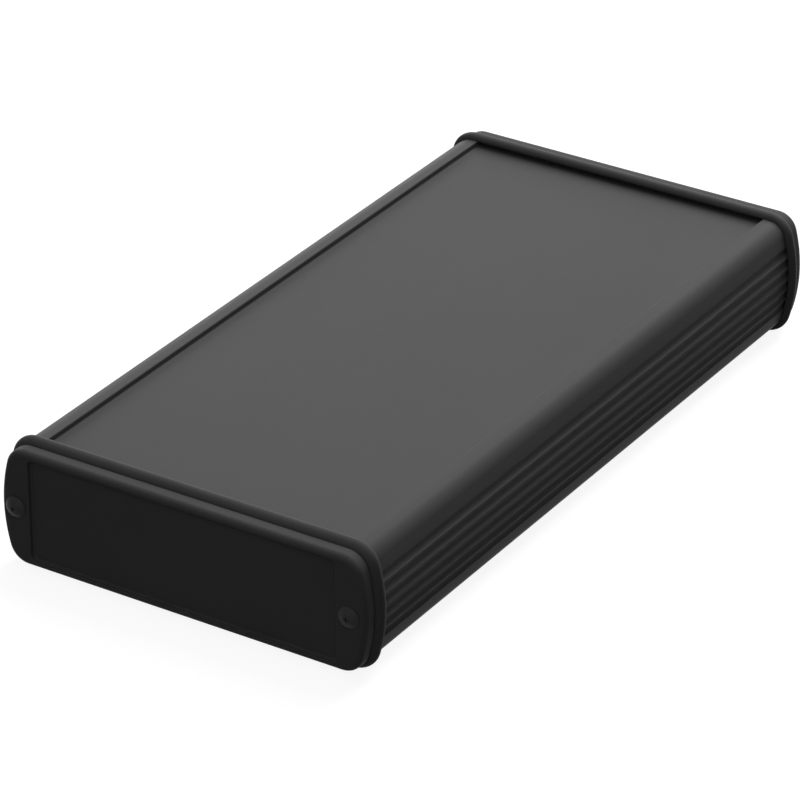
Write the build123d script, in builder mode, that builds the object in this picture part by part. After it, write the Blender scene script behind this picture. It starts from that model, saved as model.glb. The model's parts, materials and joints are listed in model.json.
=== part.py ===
from build123d import *
import math
import os

# Extruded aluminium instrument case, sizes in millimetres.
# X runs across the case, Y along it with the front end at -Y, and Z is up.
# The origin lies under the middle of the case, on the surface that it stands on.

# Extruded body
body_width = 103.0
body_height = 30.8
body_length = 200.0
body_corner_radius = 4.5
side_bow_radius = 43.0
side_wall = 2.0
roof_thickness = 1.8
cavity_corner_radius = 0.8

# Raised rail along each long edge, beside the sunken flat field
rail_width = 8.0
field_depth = 1.5
field_edge_radius = 0.3

# Flutes along the bowed sides
flute_count = 6
flute_pitch = 3.175
flute_radius = 2.2
flute_depth = 0.55

# Screw channels inside the sides
screw_inset = 4.3
channel_radius = 2.6
channel_bore_radius = 1.25
channel_slit = 1.2

# Guides for a circuit card, above and below each screw channel
card_slot_height = 1.9
card_slot_wall = 1.4
card_rib_thickness = 1.2
card_rib_reach = 3.4

# Base plate that slides into the tracks under the body
base_thickness = 2.0
tongue_thickness = 1.5
tongue_reach = 2.2
track_lip = 1.2
slide_clearance = 0.15

# Bezel ring at each end
bezel_overhang = 1.6
bezel_depth = 3.5
bezel_corner_radius = 7.0
seat_depth = 2.3
seat_clearance = 0.15
bead_inner_chamfer = 0.8
bead_outer_round = 2.0
window_step = 0.2
window_corner_radius = 1.5
ear_width = 8.1

# Moulded end panel
panel_overhang = 0.2
panel_depth = 4.0
panel_edge_round = 1.2
panel_draft = 1.0
pocket_margin = 1.6
pocket_depth = 1.0
hollow_depth = 1.2

# End screws
screw_clearance_radius = 1.7
screw_core_clearance = 0.02
screw_reach = 12.0
head_radius = 2.8
head_height = 1.6
head_rim = 0.3

# Levels and half sizes that follow from the values above, seen from the middle of the section
half_width = body_width / 2
half_height = body_height / 2
field_half_width = half_width - rail_width
field_level = half_height - field_depth
ceiling_level = field_level - roof_thickness
base_underside = -field_level
tongue_top = base_underside + tongue_thickness
base_top = base_underside + base_thickness
track_floor = base_underside - slide_clearance
track_roof = tongue_top + slide_clearance
rail_top = track_roof + track_lip
tongue_half_width = field_half_width + tongue_reach
screw_x = half_width - screw_inset
window_half_width = half_width - ear_width
window_half_height = ceiling_level - window_step
visible_half_length = body_length / 2 - seat_depth
middle_level = half_height + bezel_overhang


def section_plane(y, outward):
    """Upright plane across the case at y, its normal along -Y (outward -1) or +Y (outward 1)."""
    return Plane(origin=(0, y, middle_level), x_dir=(-outward, 0, 0), z_dir=(0, outward, 0))


def end_plane(side, depth):
    """Plane that looks out of one end, at a depth beyond the inner edge of its bezel."""
    return section_plane(side * (visible_half_length + depth), side)


def bowed_shape(outline_half_width, outline_half_height, corner, bow):
    """Closed shape with flat top and bottom, bowed sides and round corners."""
    corner_level = outline_half_height - corner
    meeting = math.asin(corner_level / (bow - corner))
    bow_x = outline_half_width - bow
    corner_x = bow_x + (bow - corner) * math.cos(meeting)
    angle = math.degrees(meeting)
    with BuildSketch() as shape:
        with BuildLine():
            Line((0, outline_half_height), (corner_x, outline_half_height))
            CenterArc((corner_x, corner_level), corner, angle, 90 - angle)
            CenterArc((bow_x, 0), bow, -angle, 2 * angle)
            CenterArc((corner_x, -corner_level), corner, -90, 90 - angle)
            Line((corner_x, -outline_half_height), (0, -outline_half_height))
            mirror(about=Plane.YZ)
        make_face()
    return shape.sketch


def bowed_outline(grow, corner):
    """Outline of the case, grown by a distance all round, with corners of a given radius."""
    return bowed_shape(half_width + grow, half_height + grow, corner, side_bow_radius + grow)


def railed_outline(grow):
    """The bowed outline with the sunken fields taken out of its top and bottom."""
    notch_half_width = field_half_width - grow
    notch_height = field_depth + bezel_overhang
    notch_middle = field_level + grow + notch_height / 2
    with BuildSketch() as outline:
        add(bowed_outline(grow, body_corner_radius + grow))
        with Locations((0, notch_middle), (0, -notch_middle)):
            Rectangle(2 * notch_half_width, notch_height, mode=Mode.SUBTRACT)
        steps = [vertex for vertex in outline.vertices() if abs(abs(vertex.X) - notch_half_width) < 0.01]
        fillet(steps, field_edge_radius)
    return outline.sketch


def flute_centres():
    """Centres of the circles that cut the flutes, on both sides."""
    centres = []
    for number in range(flute_count):
        level = (number - (flute_count - 1) / 2) * flute_pitch
        surface_x = half_width - side_bow_radius + math.sqrt(side_bow_radius**2 - level**2)
        centre_x = surface_x - flute_depth + flute_radius
        centres.append((centre_x, level))
        centres.append((-centre_x, level))
    return centres


def block(left, right, low, high, mode=Mode.ADD):
    """Rectangle between two widths and two levels, and its mirror image across the middle."""
    with Locations(((left + right) / 2, (low + high) / 2), (-(left + right) / 2, (low + high) / 2)):
        Rectangle(right - left, high - low, mode=mode)


def body_cavity():
    """Space inside the body, from the lips of the tracks up to the roof."""
    bow = side_bow_radius - side_wall
    with BuildSketch() as cavity:
        add(bowed_shape(half_width - side_wall, ceiling_level, cavity_corner_radius, bow))
        with Locations((0, (rail_top - half_height) / 2)):
            Rectangle(body_width, half_height + rail_top, mode=Mode.SUBTRACT)
    return cavity.sketch


body_outline = railed_outline(0)
cavity_outline = body_cavity()
wall_inside = half_width - side_wall / 2
slot_bottom = half_width - card_slot_wall
slot_top = channel_radius + card_slot_height
rib_tip = slot_bottom - card_rib_reach

with BuildPart() as body_extrusion:
    with BuildSketch(section_plane(body_length / 2, -1)):
        add(body_outline)
        with Locations(*flute_centres()):
            Circle(flute_radius, mode=Mode.SUBTRACT)
        add(cavity_outline, mode=Mode.SUBTRACT)
        # opening for the base plate, and the two tracks that hold its tongues
        with Locations((0, (rail_top - half_height) / 2)):
            Rectangle(2 * field_half_width, half_height + rail_top, mode=Mode.SUBTRACT)
        block(0, tongue_half_width + slide_clearance, track_floor, track_roof, mode=Mode.SUBTRACT)
        # screw channels, joined to the side walls and slit towards the inside
        block(screw_x, wall_inside, -channel_radius, channel_radius)
        with Locations((screw_x, 0), (-screw_x, 0)):
            Circle(channel_radius)
            Circle(channel_bore_radius, mode=Mode.SUBTRACT)
        block(screw_x - channel_radius, screw_x, -channel_slit / 2, channel_slit / 2, mode=Mode.SUBTRACT)
        # card guides: a rib, and a slot let into the wall between the rib and the channel
        for sign in (1, -1):
            levels = sorted((sign * slot_top, sign * (slot_top + card_rib_thickness)))
            block(rib_tip, wall_inside, levels[0], levels[1])
            levels = sorted((sign * channel_radius, sign * slot_top))
            block(screw_x, slot_bottom, levels[0], levels[1], mode=Mode.SUBTRACT)
    extrude(amount=body_length)
body_extrusion.part.label = "body_extrusion"

base_length = body_length - 2 * slide_clearance

with BuildPart() as base_plate:
    with BuildSketch(section_plane(base_length / 2, -1)):
        with Locations((0, (base_underside + base_top) / 2)):
            Rectangle(2 * (field_half_width - slide_clearance), base_thickness)
        with Locations((0, (base_underside + tongue_top) / 2)):
            Rectangle(2 * tongue_half_width, tongue_thickness)
    extrude(amount=base_length)
base_plate.part.label = "base_plate"


def face_at(part, side, outermost):
    """Flat face across the case at the outer or the inner end of a cap piece."""
    faces = part.faces().filter_by(Axis.Y).sort_by(Axis.Y)
    if side < 0:
        faces = faces[::-1]
    return faces[-1] if outermost else faces[0]


bezel_outline = bowed_outline(bezel_overhang, bezel_corner_radius)
seat_outline = railed_outline(seat_clearance)


def make_bezel(side):
    """Ring with a rounded bead, a seat for the body's end and a window in its flange."""
    with BuildPart() as bezel:
        with BuildSketch(end_plane(side, 0)):
            add(bezel_outline)
        extrude(amount=bezel_depth)
        chamfer(face_at(bezel, side, False).edges(), bead_inner_chamfer)
        fillet(face_at(bezel, side, True).edges(), bead_outer_round)
        with BuildSketch(end_plane(side, 0)):
            add(seat_outline)
        extrude(amount=seat_depth, mode=Mode.SUBTRACT)
        with BuildSketch(end_plane(side, 0)):
            RectangleRounded(2 * window_half_width, 2 * window_half_height, window_corner_radius)
            with Locations((screw_x, 0), (-screw_x, 0)):
                Circle(screw_clearance_radius)
        extrude(amount=bezel_depth, mode=Mode.SUBTRACT)
    return bezel.part


panel_corner_radius = bezel_corner_radius - bezel_overhang + panel_overhang
panel_outline = bowed_outline(panel_overhang, panel_corner_radius)
panel_face_depth = bezel_depth + panel_depth
pocket_half_height = half_height + panel_overhang - pocket_margin


def make_panel(side):
    """Moulded plate with drafted sides, a round front edge and a sunken middle between two ears."""
    with BuildPart() as panel:
        with BuildSketch(end_plane(side, bezel_depth)):
            add(panel_outline)
        extrude(amount=panel_depth, taper=panel_draft)
        fillet(face_at(panel, side, True).edges(), panel_edge_round)
        with BuildSketch(end_plane(side, panel_face_depth)):
            RectangleRounded(2 * window_half_width, 2 * pocket_half_height, window_corner_radius)
        extrude(amount=-pocket_depth, mode=Mode.SUBTRACT)
        with BuildSketch(end_plane(side, bezel_depth)):
            RectangleRounded(2 * window_half_width, 2 * window_half_height, window_corner_radius)
        extrude(amount=hollow_depth, mode=Mode.SUBTRACT)
        with BuildSketch(end_plane(side, bezel_depth)):
            with Locations((screw_x, 0), (-screw_x, 0)):
                Circle(screw_clearance_radius)
        extrude(amount=panel_depth, mode=Mode.SUBTRACT)
    return panel.part


dome_height = head_height - head_rim
dome_radius = (head_radius**2 + dome_height**2) / (2 * dome_height)


def make_screw(side, x):
    """Screw with a domed head, whose core passes the panel and the bezel and fills the channel."""
    under_head = end_plane(side, panel_face_depth)
    with BuildPart() as screw:
        with BuildSketch(under_head):
            with Locations((x, 0)):
                Circle(head_radius)
        extrude(amount=head_height)
        with Locations(end_plane(side, panel_face_depth + head_height - dome_radius)):
            with Locations((x, 0)):
                Sphere(dome_radius, mode=Mode.INTERSECT)
        with BuildSketch(under_head):
            with Locations((x, 0)):
                Circle(channel_bore_radius - screw_core_clearance)
        extrude(amount=-screw_reach)
    return screw.part


os.makedirs("parts", exist_ok=True)
export_step(body_extrusion.part, "parts/body_extrusion.step")
export_step(base_plate.part, "parts/base_plate.step")

for end_name, side in (("front", -1), ("rear", 1)):
    bezel = make_bezel(side)
    bezel.label = end_name + "_bezel"
    export_step(bezel, "parts/" + bezel.label + ".step")
    panel = make_panel(side)
    panel.label = end_name + "_panel"
    export_step(panel, "parts/" + panel.label + ".step")
    for hand_name, hand in (("left", -1), ("right", 1)):
        screw = make_screw(side, -side * hand * screw_x)
        screw.label = end_name + "_screw_" + hand_name
        export_step(screw, "parts/" + screw.label + ".step")
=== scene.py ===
import json
import math

import bpy
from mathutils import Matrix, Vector


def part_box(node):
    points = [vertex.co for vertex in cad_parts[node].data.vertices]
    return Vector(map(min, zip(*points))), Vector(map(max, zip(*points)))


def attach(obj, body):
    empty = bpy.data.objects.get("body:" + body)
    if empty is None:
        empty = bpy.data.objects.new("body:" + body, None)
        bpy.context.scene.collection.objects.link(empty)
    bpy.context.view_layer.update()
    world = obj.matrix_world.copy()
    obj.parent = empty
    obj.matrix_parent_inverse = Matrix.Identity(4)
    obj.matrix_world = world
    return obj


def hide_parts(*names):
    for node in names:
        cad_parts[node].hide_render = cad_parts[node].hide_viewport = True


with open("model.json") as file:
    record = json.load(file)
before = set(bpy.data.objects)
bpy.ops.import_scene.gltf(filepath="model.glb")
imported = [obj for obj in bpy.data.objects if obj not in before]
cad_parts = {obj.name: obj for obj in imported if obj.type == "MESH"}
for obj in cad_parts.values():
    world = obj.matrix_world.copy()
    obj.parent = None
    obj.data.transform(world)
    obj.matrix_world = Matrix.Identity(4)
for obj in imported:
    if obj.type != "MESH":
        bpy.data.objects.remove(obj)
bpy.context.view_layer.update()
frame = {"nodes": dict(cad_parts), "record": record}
bpy.ops.object.select_all(action="DESELECT")

MM = 0.001


class Wire:
    """A shader socket that adds its own maths nodes when it is used in an expression."""

    def __init__(self, nodes, socket):
        self.nodes = nodes
        self.socket = socket

    def maths(self, operation, *values):
        return self.nodes.node("ShaderNodeMath", {"operation": operation}, dict(enumerate(values)))

    def __add__(self, other):
        return self.maths("ADD", self, other)

    __radd__ = __add__

    def __mul__(self, other):
        return self.maths("MULTIPLY", self, other)

    __rmul__ = __mul__


class Nodes:
    """A node tree, and short ways to add nodes to it and to feed their sockets."""

    def __init__(self, tree):
        self.tree = tree

    def node(self, kind, settings=None, inputs=None, output=0):
        """Add a node: its type, its settings, the values or links of its sockets, and the output to use."""
        made = self.tree.nodes.new(kind)
        for key, value in (settings or {}).items():
            setattr(made, key, value)
        for key, value in (inputs or {}).items():
            self.join(made.inputs[key], value)
        return Wire(self, made.outputs[output])

    def join(self, socket, value):
        """Feed a socket a link, a colour of three parts, or a plain value."""
        if isinstance(value, Wire):
            self.tree.links.new(value.socket, socket)
        elif isinstance(value, tuple) and len(value) == 3 and socket.type == "RGBA":
            socket.default_value = (*value, 1.0)
        else:
            socket.default_value = value

    def background_rays(self):
        """1 for camera, glossy and transmission rays, 0 for the rest."""
        seen = self.node("ShaderNodeLightPath", output="Is Camera Ray")
        for name in ("Is Glossy Ray", "Is Transmission Ray"):
            seen = seen.maths("MAXIMUM", seen, self.node("ShaderNodeLightPath", output=name))
        return seen


class Shader(Nodes):
    """A material with one Principled shader."""

    def __init__(self, name):
        self.material = bpy.data.materials.new(name)
        self.material.use_nodes = True
        self.surface = self.material.node_tree.nodes["Principled BSDF"]
        super().__init__(self.material.node_tree)

    def set(self, **values):
        """Feed the shader's own sockets by their names, with _ for a space."""
        for key, value in values.items():
            self.join(self.surface.inputs[key.replace("_", " ")], value)

    def place(self, scale=(1.0, 1.0, 1.0)):
        """Object coordinates, stretched by a scale on each axis."""
        coordinates = self.node("ShaderNodeTexCoord", output="Object")
        return self.node("ShaderNodeMapping", None, {"Vector": coordinates, "Scale": scale})

    def noise(self, place, scale, detail, roughness):
        inputs = {"Vector": place, "Scale": scale, "Detail": detail, "Roughness": roughness}
        return self.node("ShaderNodeTexNoise", None, inputs)

    def blend(self, factor, first, second):
        """Colour between two colours: sockets 6 and 7 of a Mix node, with the result on its output 2."""
        inputs = {"Factor": factor, 6: first, 7: second}
        return self.node("ShaderNodeMix", {"data_type": "RGBA"}, inputs, output=2)

    def bump(self, height, strength, distance):
        inputs = {"Height": height, "Strength": strength, "Distance": distance}
        return self.node("ShaderNodeBump", None, inputs)


def anodised_aluminium():
    """Matte black coat with a fine grain along the case. Its dye hides the metal, so it isn't metallic."""
    shader = Shader("black_anodised_aluminium")
    grain = shader.noise(shader.place((1.0, 0.02, 1.0)), scale=2600.0, detail=3.0, roughness=0.6)
    cloud = shader.noise(shader.place(), scale=22.0, detail=3.0, roughness=0.5)
    matte = shader.noise(shader.place(), scale=5200.0, detail=2.0, roughness=0.6)
    tone = cloud * 0.6 + grain * 0.4
    shader.set(
        Base_Color=shader.blend(tone, (0.066, 0.066, 0.067), (0.085, 0.085, 0.086)),
        Roughness=0.42 + 0.1 * matte + 0.05 * cloud,
        Specular_IOR_Level=0.03,
        Normal=shader.bump(0.55 * matte + 0.45 * grain, strength=0.25, distance=0.00002),
    )
    return shader.material


def moulded_plastic():
    """Black plastic with the fine even grain of a mould."""
    shader = Shader("black_moulded_plastic")
    grain = shader.noise(shader.place(), scale=3200.0, detail=3.0, roughness=0.65)
    cloud = shader.noise(shader.place(), scale=30.0, detail=3.0, roughness=0.5)
    shader.set(
        Base_Color=shader.blend(cloud, (0.058, 0.058, 0.059), (0.076, 0.076, 0.077)),
        Roughness=0.5 + 0.12 * grain,
        Specular_IOR_Level=0.03,
        Normal=shader.bump(grain, strength=0.3, distance=0.00003),
    )
    return shader.material


def blackened_steel():
    """Black coated steel, a little glossier than the rest."""
    shader = Shader("blackened_steel")
    grain = shader.noise(shader.place(), scale=2400.0, detail=3.0, roughness=0.6)
    shader.set(
        Base_Color=shader.blend(grain, (0.045, 0.045, 0.046), (0.06, 0.06, 0.061)),
        Roughness=0.42 + 0.15 * grain,
        Specular_IOR_Level=0.08,
        Normal=shader.bump(grain, strength=0.2, distance=0.00002),
    )
    return shader.material


# Each CAD node gets its finish, and is smooth where its faces meet at less than an angle
cad_smooth_angle = math.radians(28.0)
finishes = {
    "anodised_aluminium": anodised_aluminium(),
    "moulded_plastic": moulded_plastic(),
    "blackened_steel": blackened_steel(),
}
slots = {entry["node"]: entry["material_slot"] for entry in frame["record"]["subparts"]}
for name, node in frame["nodes"].items():
    node.data.materials.clear()
    node.data.materials.append(finishes[slots[name]])
    node.select_set(True)
    bpy.context.view_layer.objects.active = node
    bpy.ops.object.shade_smooth_by_angle(angle=cad_smooth_angle)
    node.select_set(False)


# The end pieces are drawn in millimetres round the middle of the section, and then raised to its level
middle_level = sum(corner[2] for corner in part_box("front_bezel")) / 2 / MM
screw_x = sum(corner[0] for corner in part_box("front_screw_right")) / 2 / MM
plate_depth = (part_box("front_panel")[1][1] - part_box("front_panel")[0][1]) / MM

# Body
side_bow = 43.0
body_corner = 4.5

# Bezel
bezel_overhang = 1.6
bezel_corner = 7.0
bezel_round = 2.0
bezel_round_profile = 0.47
bezel_inner_round = 1.4
seat_depth = 2.3
seat_clearance = 0.15
window_half_width = 43.4
window_half_height = 11.9
window_corner = 1.5
hole_radius = 1.7

# End plate
plate_overhang = 0.2
plate_round = 1.55
plate_back_round = 0.5
plate_draft_degrees = 1.0
pocket_half_height = 13.75
pocket_depth = 1.2
pocket_rim_round = 0.2
pocket_root_round = 0.5
hollow_depth = 1.2

# Screw
head_height = 1.6
head_rim = 0.3
head_chamfer = 0.1
neck_step = 0.35
core_radius = 1.23
tip_chamfer = 0.5
recess_reach = 1.1
recess_width = 0.4
recess_depth = 0.45
recess_taper = 0.4

# Steps of the curves
corner_steps = 12
bow_steps = 9
edge_steps = 10
inner_edge_steps = 8
plug_corner_steps = 6
root_steps = 4
fine_steps = 3
dome_steps = 8
circle_steps = 40

# How far a cutter stands out, and how close two points or two levels are taken as one
overrun = 1.0
point_tolerance = 0.001
level_tolerance = 0.004

# Shading angle of the end pieces, and two directions
piece_smooth_angle = math.radians(33.0)
along_case = (0.0, 1.0, 0.0)
upright = (0.0, 0.0, 1.0)


def half_size(node):
    """Half width and half height of a CAD node at the front, and its inner and outer end, in millimetres."""
    low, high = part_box(node)
    return high[0] / MM, (high[2] - low[2]) / 2 / MM, high[1] / MM, low[1] / MM


def only(piece):
    """Make one piece the whole selection, in object mode."""
    if bpy.context.object and bpy.context.object.mode == "EDIT":
        bpy.ops.object.mode_set(mode="OBJECT")
    bpy.ops.object.select_all(action="DESELECT")
    piece.select_set(True)
    bpy.context.view_layer.objects.active = piece


def pick(piece, kind, test):
    """Go into edit mode with only the points, edges or faces selected whose points all pass a test."""
    only(piece)
    bpy.ops.object.mode_set(mode="EDIT")
    bpy.ops.mesh.select_mode(type=kind)
    bpy.ops.mesh.select_all(action="DESELECT")
    bpy.ops.object.mode_set(mode="OBJECT")
    mesh = piece.data
    if kind == "VERT":
        for point in mesh.vertices:
            point.select = test(point.co / MM)
    else:
        for item in mesh.edges if kind == "EDGE" else mesh.polygons:
            item.select = all(test(mesh.vertices[number].co / MM) for number in item.vertices)
    bpy.ops.object.mode_set(mode="EDIT")


def resize(scale, centre):
    """Scale the selection about a centre and leave edit mode."""
    bpy.ops.transform.resize(value=scale, center_override=Vector(centre) * MM)
    bpy.ops.object.mode_set(mode="OBJECT")


def near(value, level):
    """Whether a place along one axis is at a level."""
    return abs(value - level) < level_tolerance


def bevel(width, segments, profile=0.5):
    """Round the selected edges and leave edit mode."""
    bpy.ops.mesh.bevel(offset=width * MM, segments=segments, profile=profile, affect="EDGES")
    bpy.ops.object.mode_set(mode="OBJECT")


def start_point(name, place):
    """A new piece of a single point, left in edit mode with that point selected."""
    bpy.ops.mesh.primitive_plane_add(size=MM, location=Vector(place) * MM)
    piece = bpy.context.object
    piece.name = name
    bpy.ops.object.transform_apply(location=True)
    bpy.ops.object.mode_set(mode="EDIT")
    bpy.ops.mesh.select_mode(type="VERT")
    bpy.ops.mesh.merge(type="CENTER")
    return piece


def draw_line(step):
    """Draw a line of one step on from the selected point, and select its end."""
    bpy.ops.mesh.extrude_vertices_move(TRANSFORM_OT_translate={"value": [length * MM for length in step]})


def turn(steps, angle, centre, axis):
    """Spin the selection by a right-hand angle about an axis. Spin itself counts the other way round."""
    bpy.ops.mesh.spin(steps=steps, angle=-angle, center=Vector(centre) * MM, axis=axis)


def bowed_block(name, half_width, half_height, corner, bow, inner, outer):
    """Solid with flat top and bottom, bowed sides and round corners, from one depth to another."""
    corner_level = half_height - corner
    meeting = math.asin(corner_level / (bow - corner))
    bow_x = half_width - bow
    corner_x = bow_x + (bow - corner) * math.cos(meeting)
    piece = start_point(name, (0.0, inner, half_height))
    draw_line((corner_x, 0.0, 0.0))
    turn(corner_steps, math.pi / 2 - meeting, (corner_x, inner, corner_level), along_case)
    turn(bow_steps, meeting, (bow_x, inner, 0.0), along_case)
    for side in ("POSITIVE_Z", "POSITIVE_X"):
        bpy.ops.mesh.select_all(action="SELECT")
        bpy.ops.mesh.symmetrize(direction=side, threshold=point_tolerance * MM)
    bpy.ops.mesh.select_all(action="SELECT")
    bpy.ops.mesh.remove_doubles(threshold=point_tolerance * MM)
    bpy.ops.mesh.edge_face_add()
    bpy.ops.mesh.extrude_region_move(TRANSFORM_OT_translate={"value": (0.0, (outer - inner) * MM, 0.0)})
    bpy.ops.mesh.select_all(action="SELECT")
    bpy.ops.mesh.normals_make_consistent(inside=False)
    only(piece)
    return piece


def round_block(name, half_width, half_height, corner, inner, outer, root=0.0):
    """Block with rounded corners along the case, and a rounded inner end where one is asked for."""
    middle = Vector((0.0, (inner + outer) / 2, 0.0))
    size = Vector((2 * half_width, abs(outer - inner), 2 * half_height))
    bpy.ops.mesh.primitive_cube_add(size=1.0, location=middle * MM, scale=size * MM)
    piece = bpy.context.object
    piece.name = name
    bpy.ops.object.transform_apply(location=True, scale=True)
    for x in (-half_width, half_width):
        for z in (-half_height, half_height):
            pick(piece, "EDGE", lambda place: near(place.x, x) and near(place.z, z))
            bevel(corner, plug_corner_steps)
    if root:
        pick(piece, "EDGE", lambda place: near(place.y, inner))
        bevel(root, root_steps)
    only(piece)
    return piece


def hole_plugs(inner, outer):
    """Two round bars along the case that cut the screw holes."""
    bars = []
    for x in (-screw_x, screw_x):
        bpy.ops.mesh.primitive_cylinder_add(
            vertices=circle_steps,
            radius=hole_radius * MM,
            depth=abs(outer - inner) * MM,
            location=Vector((x, (inner + outer) / 2, 0.0)) * MM,
            rotation=(math.pi / 2, 0.0, 0.0),
        )
        bpy.ops.object.transform_apply(location=True, rotation=True)
        bars.append(bpy.context.object)
        bars[-1].name = "hole_plug"
    return bars


def cut(piece, *cutters):
    """Take cutters out of a piece."""
    for cutter in cutters:
        only(piece)
        modifier = piece.modifiers.new(cutter.name, "BOOLEAN")
        modifier.operation = "DIFFERENCE"
        modifier.solver = "EXACT"
        modifier.object = cutter
        bpy.ops.object.modifier_apply(modifier=modifier.name)
        bpy.data.objects.remove(cutter)


def finish(piece, slot, x=0.0):
    """Put a piece at its place on the case, shade it and give it its finish."""
    only(piece)
    bpy.ops.transform.translate(value=(x * MM, 0.0, middle_level * MM))
    bpy.ops.object.transform_apply(location=True)
    bpy.ops.object.shade_smooth_by_angle(angle=piece_smooth_angle)
    modifier = piece.modifiers.new("flat_faces_first", "WEIGHTED_NORMAL")
    modifier.keep_sharp = True
    bpy.ops.object.modifier_apply(modifier=modifier.name)
    piece.data.materials.clear()
    piece.data.materials.append(finishes[slot])


def declare(piece, node):
    """Attach a piece to the body it moves with and hide the CAD node it stands for."""
    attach(piece, "root")
    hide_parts(node)


def copy_of(piece, name, move=(0.0, 0.0, 0.0), half_turn=False):
    """Copy of a finished piece with its own mesh, moved, or turned round to the rear end."""
    only(piece)
    bpy.ops.object.duplicate(linked=False)
    twin = bpy.context.object
    twin.name = name
    twin.data.name = name
    if half_turn:
        bpy.ops.transform.rotate(value=math.pi, orient_axis="Z", center_override=(0.0, 0.0, 0.0))
    bpy.ops.transform.translate(value=Vector(move) * MM)
    bpy.ops.object.transform_apply(location=True, rotation=True)
    return twin


def bezel_moulding():
    """Ring with a rounded bead, a seat for the body's end, a window and two screw holes."""
    half_width, half_height, inner, outer = half_size("front_bezel")
    bow = side_bow + bezel_overhang
    bezel = bowed_block("bezel_front_moulding", half_width, half_height, bezel_corner, bow, inner, outer)
    pick(bezel, "EDGE", lambda place: near(place.y, outer))
    bevel(bezel_round, edge_steps, bezel_round_profile)
    pick(bezel, "EDGE", lambda place: near(place.y, inner))
    bevel(bezel_inner_round, inner_edge_steps)
    drawn_in = bezel_overhang - seat_clearance
    seat = bowed_block(
        "seat_plug",
        half_width - drawn_in,
        half_height - drawn_in,
        body_corner + seat_clearance,
        side_bow + seat_clearance,
        inner + overrun,
        inner - seat_depth,
    )
    window = round_block(
        "window_plug",
        window_half_width,
        window_half_height,
        window_corner,
        inner + overrun,
        outer - overrun,
    )
    cut(bezel, seat, window, *hole_plugs(inner + overrun, outer - overrun))
    return bezel


def end_plate():
    """Moulded plate with a rounded edge, a shallow pocket in front and a hollow behind."""
    half_width, half_height, inner, outer = half_size("front_panel")
    corner = bezel_corner - bezel_overhang + plate_overhang
    bow = side_bow + plate_overhang
    plate = bowed_block("end_plate_front", half_width, half_height, corner, bow, inner, outer)
    drawn_in = abs(outer - inner) * math.tan(math.radians(plate_draft_degrees))
    pick(plate, "VERT", lambda place: near(place.y, outer))
    resize((1.0 - drawn_in / half_width, 1.0, 1.0 - drawn_in / half_height), (0.0, outer, 0.0))
    pick(plate, "EDGE", lambda place: near(place.y, outer))
    bevel(plate_round, edge_steps)
    pick(plate, "EDGE", lambda place: near(place.y, inner))
    bevel(plate_back_round, fine_steps)
    pocket = round_block(
        "pocket_plug",
        window_half_width,
        pocket_half_height,
        window_corner,
        outer + pocket_depth,
        outer - overrun,
        pocket_root_round,
    )
    hollow = round_block(
        "hollow_plug",
        window_half_width,
        window_half_height,
        window_corner,
        inner - hollow_depth,
        inner + overrun,
    )
    cut(plate, pocket, hollow, *hole_plugs(inner + overrun, outer - overrun))

    def on_pocket_rim(place):
        in_width = abs(place.x) < window_half_width + level_tolerance
        in_height = abs(place.z) < pocket_half_height + level_tolerance
        return near(place.y, outer) and in_width and in_height

    pick(plate, "EDGE", on_pocket_rim)
    bevel(pocket_rim_round, fine_steps)
    return plate


def end_screw():
    """Screw with a domed head, a cross recess, a neck through the plate and a plain core."""
    low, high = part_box("front_screw_right")
    head_radius = (high[0] - low[0]) / 2 / MM
    tip = high[1] / MM
    top = low[1] / MM
    under_head = top + head_height
    rise = head_height - head_rim
    dome_radius = (head_radius ** 2 + rise ** 2) / (2 * rise)
    dome_angle = math.asin(head_radius / dome_radius)
    core_length = tip - under_head - plate_depth - neck_step - tip_chamfer
    screw = start_point("end_screw_front_right", (0.0, top, 0.0))
    turn(dome_steps, dome_angle, (0.0, top + dome_radius, 0.0), upright)
    draw_line((0.0, head_rim - head_chamfer, 0.0))
    draw_line((-head_chamfer, head_chamfer, 0.0))
    draw_line((core_radius + neck_step - head_radius + head_chamfer, 0.0, 0.0))
    draw_line((0.0, plate_depth, 0.0))
    draw_line((-neck_step, neck_step, 0.0))
    draw_line((0.0, core_length, 0.0))
    draw_line((-tip_chamfer, tip_chamfer, 0.0))
    draw_line((tip_chamfer - core_radius, 0.0, 0.0))
    bpy.ops.mesh.select_all(action="SELECT")
    turn(circle_steps, -2 * math.pi, (0.0, 0.0, 0.0), along_case)
    bpy.ops.mesh.select_all(action="SELECT")
    bpy.ops.mesh.remove_doubles(threshold=point_tolerance * MM)
    bpy.ops.mesh.normals_make_consistent(inside=False)
    only(screw)
    for quarter in (0.0, math.pi / 2):
        bpy.ops.mesh.primitive_cube_add(
            size=1.0,
            location=Vector((0.0, top + (recess_depth - overrun / 2) / 2, 0.0)) * MM,
            rotation=(0.0, quarter, 0.0),
            scale=Vector((2 * recess_reach, recess_depth + overrun / 2, recess_width)) * MM,
        )
        wing = bpy.context.object
        wing.name = "cross_plug"
        bpy.ops.object.transform_apply(location=True, rotation=True, scale=True)
        pick(wing, "FACE", lambda place: near(place.y, top + recess_depth))
        resize((recess_taper, 1.0, recess_taper), (0.0, 0.0, 0.0))
        cut(screw, wing)
    return screw


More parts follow.
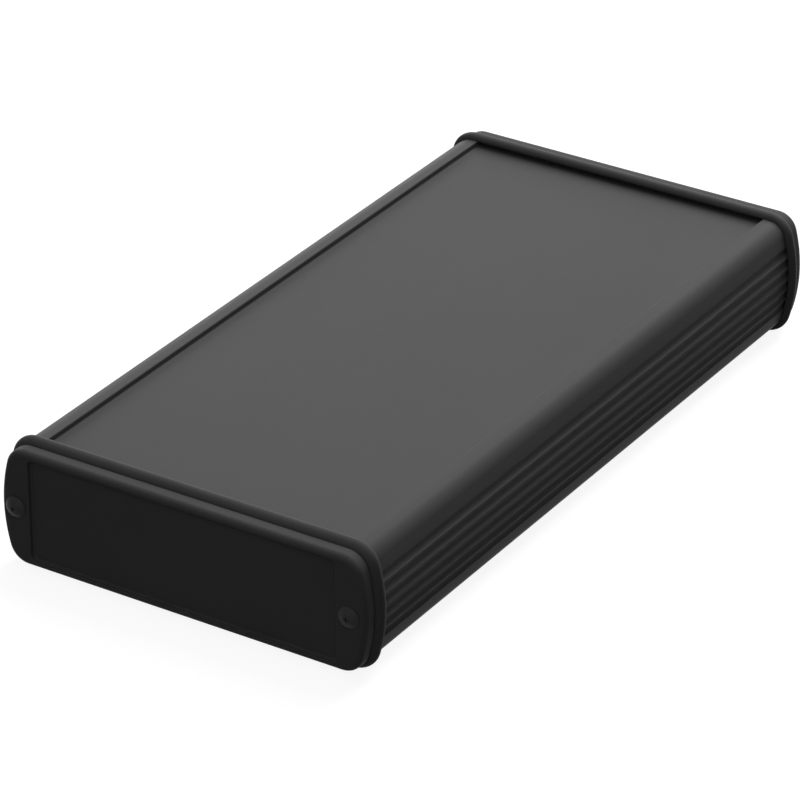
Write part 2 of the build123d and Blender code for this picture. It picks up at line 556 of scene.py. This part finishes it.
# The front pieces, and their copies at the left and at the rear
bezel = bezel_moulding()
finish(bezel, "moulded_plastic")
plate = end_plate()
finish(plate, "moulded_plastic")
screw = end_screw()
finish(screw, "blackened_steel", screw_x)
screw_left = copy_of(screw, "end_screw_front_left", (-2 * screw_x, 0.0, 0.0))
pieces = (
    (bezel, "front_bezel", "moulded_plastic"),
    (copy_of(bezel, "bezel_rear_moulding", half_turn=True), "rear_bezel", "moulded_plastic"),
    (plate, "front_panel", "moulded_plastic"),
    (copy_of(plate, "end_plate_rear", half_turn=True), "rear_panel", "moulded_plastic"),
    (screw, "front_screw_right", "blackened_steel"),
    (screw_left, "front_screw_left", "blackened_steel"),
    (copy_of(screw, "end_screw_rear_left", half_turn=True), "rear_screw_left", "blackened_steel"),
    (copy_of(screw_left, "end_screw_rear_right", half_turn=True), "rear_screw_right", "blackened_steel"),
)
for piece, node, slot in pieces:
    declare(piece, node)
bpy.ops.object.select_all(action="DESELECT")


# Studio, with its lengths in metres
floor_side = 6.0
lamp_reach = 1.2
lamp_side = 0.6


def studio_floor():
    """Pale floor that looks white to the camera and in reflections, and keeps a soft shadow."""
    bpy.ops.mesh.primitive_plane_add(size=floor_side, location=(0.0, 0.0, 0.0))
    floor = bpy.context.object
    floor.name = "studio_floor"
    shader = Shader("floor_white")
    seen = shader.background_rays()
    shader.set(
        Base_Color=shader.blend(seen, (0.01, 0.01, 0.01), (0.22, 0.22, 0.22)),
        Roughness=0.9,
        Specular_IOR_Level=0.0,
        Emission_Color=(1.0, 1.0, 1.0),
        Emission_Strength=seen * 0.9,
    )
    floor.data.materials.append(shader.material)


def area_lamp(name, bearing, height, power):
    """Square softbox aimed at the case, from a bearing off the rear end and a height, both in degrees."""
    bearing = math.radians(bearing)
    height = math.radians(height)
    place = Vector((
        lamp_reach * math.cos(height) * math.sin(bearing),
        lamp_reach * math.cos(height) * math.cos(bearing),
        lamp_reach * math.sin(height),
    ))
    bpy.ops.object.light_add(type="AREA", location=place)
    lamp = bpy.context.object
    lamp.name = name
    lamp.data.shape = "SQUARE"
    lamp.data.size = lamp_side
    lamp.data.energy = power
    lamp.rotation_euler = (-place).to_track_quat("-Z", "Y").to_euler()


studio_floor()
area_lamp("overhead_softbox", bearing=0.0, height=88.0, power=2.6)
area_lamp("high_rear_softbox", bearing=0.0, height=65.0, power=5.6)
area_lamp("rear_softbox", bearing=0.0, height=40.0, power=8.9)
area_lamp("low_left_softbox", bearing=-45.0, height=15.0, power=3.4)
area_lamp("right_fill", bearing=150.0, height=45.0, power=1.6)
area_lamp("low_front_fill", bearing=180.0, height=15.0, power=0.9)

# The air gives almost no light, and is white where the camera or a reflection sees it
air_light = 0.01
world = bpy.data.worlds.new("studio_air")
bpy.context.scene.world = world
world.use_nodes = True
backdrop = world.node_tree.nodes["Background"]
backdrop.inputs["Color"].default_value = (1.0, 1.0, 1.0, 1.0)
air = Nodes(world.node_tree)
air.join(backdrop.inputs["Strength"], air_light + (1.0 - air_light) * air.background_rays())

# The camera is right of the front end and above it, with angles in radians and lengths in metres
azimuth = 0.566060077
elevation = 0.499675246
distance = 1.16299773
view_depth = 20.0

# Its target and its sensor are in millimetres, and its focal length in pixels of the square photograph
target = (1.4223, -11.5212, 16.9609)
sensor_width = 36.0
focal_pixels = 4693.26
photo_pixels = 800.0
back = Vector((
    math.sin(azimuth) * math.cos(elevation),
    -math.cos(azimuth) * math.cos(elevation),
    math.sin(elevation),
))
bpy.ops.object.camera_add(location=Vector(target) * MM + back * distance)
camera = bpy.context.object
camera.rotation_euler = (-back).to_track_quat("-Z", "Y").to_euler()
camera.data.sensor_width = sensor_width
camera.data.lens = focal_pixels / photo_pixels * sensor_width
camera.data.clip_end = view_depth
bpy.context.scene.camera = camera

bpy.context.scene.view_settings.view_transform = "Standard"
